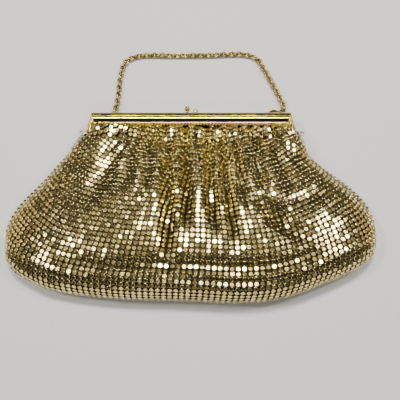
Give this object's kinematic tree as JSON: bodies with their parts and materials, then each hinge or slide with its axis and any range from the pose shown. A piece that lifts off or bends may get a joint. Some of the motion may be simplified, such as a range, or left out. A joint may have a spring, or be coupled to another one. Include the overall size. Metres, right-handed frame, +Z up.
{
  "type": "metal mesh evening purse",
  "caption": "Small evening purse of gold metal mesh gathered on a hinged clasp frame, with a link chain handle, lying shut on its back.",
  "frame": {"origin": "on the floor, in the middle of the flat back that the purse lies on", "axes": "+Z up out of the front of the purse, +X along the frame to the right as seen from the front, +Y from the bottom fold towards the frame and the handle"},
  "size_m": [0.2304, 0.1843, 0.0248],
  "materials": {
    "polished_gold": "polished",
    "gold_mesh": "satin plated mesh",
    "gold_chain": "polished"
  },
  "bodies": {
    "root": {"mesh_bag": "gold_mesh", "frame_front": "polished_gold", "frame_back": "polished_gold", "hinge_pin_left": "polished_gold", "hinge_pin_right": "polished_gold", "hanger_coil_front": "polished_gold", "hanger_coil_back": "polished_gold", "clasp_knob_front": "polished_gold", "clasp_knob_back": "polished_gold", "chain": "gold_chain"}
  },
  "joints": []
}
